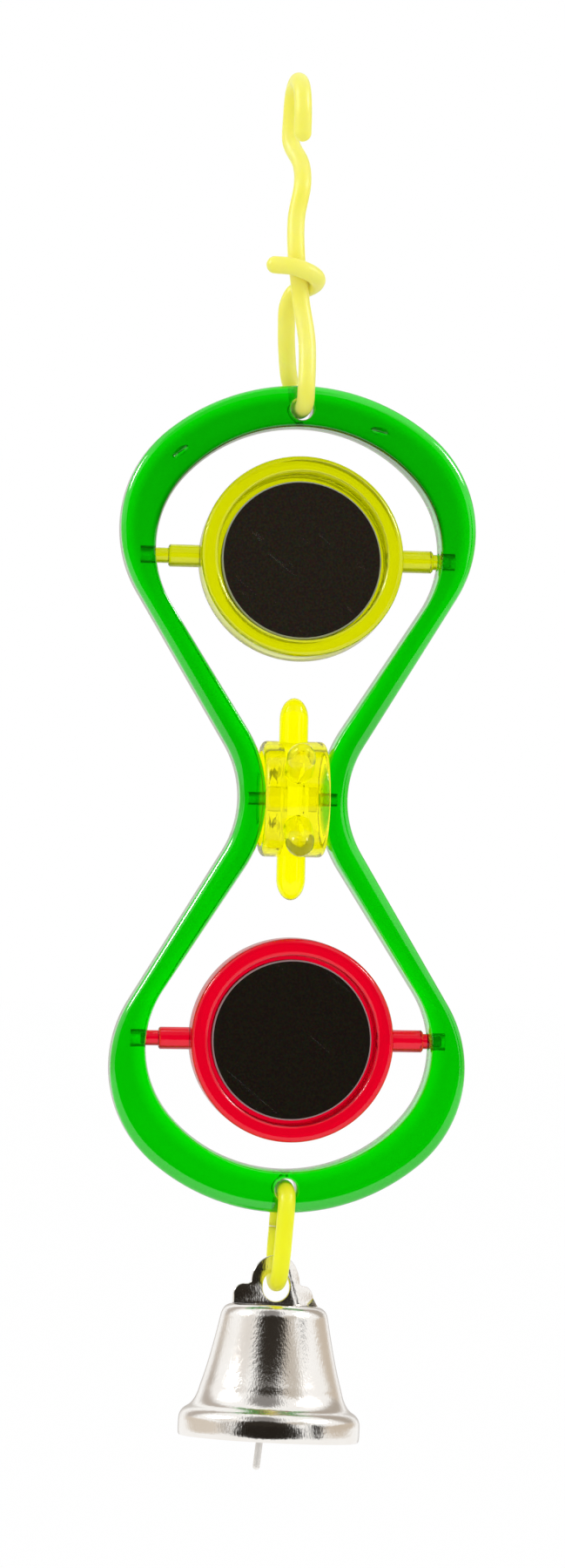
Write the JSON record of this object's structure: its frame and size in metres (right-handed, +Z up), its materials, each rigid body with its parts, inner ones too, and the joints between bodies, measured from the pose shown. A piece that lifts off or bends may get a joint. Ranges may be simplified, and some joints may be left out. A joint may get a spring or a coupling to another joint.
{
  "type": "hanging mirror bird toy",
  "caption": "Clear hourglass frame on a hooked plastic wire, with flipping framed mirrors, a pegged spinning wheel at its waist and a small metal bell hung below, for a cage bird.",
  "frame": {"origin": "inside top of the hook, where the cage bar sits", "axes": "+Z up along the hanging toy, -Y towards the front mirrors' faces, +X to the right seen from the front"},
  "size_m": [0.0511, 0.0279, 0.2002],
  "materials": {
    "green_clear_plastic": "gloss",
    "yellow_clear_plastic": "gloss",
    "red_clear_plastic": "gloss",
    "yellow_wire_plastic": "satin",
    "mirror_glass": "mirror",
    "nickel_plated_steel": "bright nickel plate"
  },
  "bodies": {
    "hanger": {"hanger": "yellow_wire_plastic"},
    "frame": {"frame": "green_clear_plastic"},
    "upper_mirror": {"upper_mirror_ring": "yellow_clear_plastic", "upper_mirror_front": "mirror_glass", "upper_mirror_back": "mirror_glass"},
    "lower_mirror": {"lower_mirror_ring": "red_clear_plastic", "lower_mirror_front": "mirror_glass", "lower_mirror_back": "mirror_glass"},
    "spinner": {"spinner_wheel": "yellow_clear_plastic"},
    "link": {"bell_link": "yellow_wire_plastic"},
    "bell": {"bell_shell": "nickel_plated_steel", "bell_crown": "nickel_plated_steel"},
    "clapper": {"clapper": "nickel_plated_steel"}
  },
  "joints": [
    {"name": "frame_swing", "type": "hinge", "parent": "hanger", "child": "frame", "pos_m": [0.00135, 0, -0.0457], "axis": [0, 1, 0], "range_deg": [-45, 45]},
    {"name": "upper_mirror_flip", "type": "hinge", "parent": "frame", "child": "upper_mirror", "pos_m": [0.00135, 0, -0.0672], "axis": [1, 0, 0], "continuous": true},
    {"name": "lower_mirror_flip", "type": "hinge", "parent": "frame", "child": "lower_mirror", "pos_m": [0.00135, 0, -0.1362], "axis": [1, 0, 0], "continuous": true},
    {"name": "wheel_spin", "type": "hinge", "parent": "frame", "child": "spinner", "pos_m": [0.00135, 0, -0.1017], "axis": [1, 0, 0], "continuous": true},
    {"name": "link_swing", "type": "hinge", "parent": "frame", "child": "link", "pos_m": [0.00135, 0, -0.1577], "axis": [0, 1, 0], "range_deg": [-45, 45]},
    {"name": "bell_swing", "type": "hinge", "parent": "link", "child": "bell", "pos_m": [0.00046, 0, -0.17107], "axis": [0.9978, 0, -0.0663], "range_deg": [-14, 26]},
    {"name": "clapper_swing", "type": "hinge", "parent": "bell", "child": "clapper", "pos_m": [0.00018, -0.00068, -0.17753], "axis": [-0.0069, 0.9945, -0.1043], "range_deg": [-36, 30]}
  ]
}
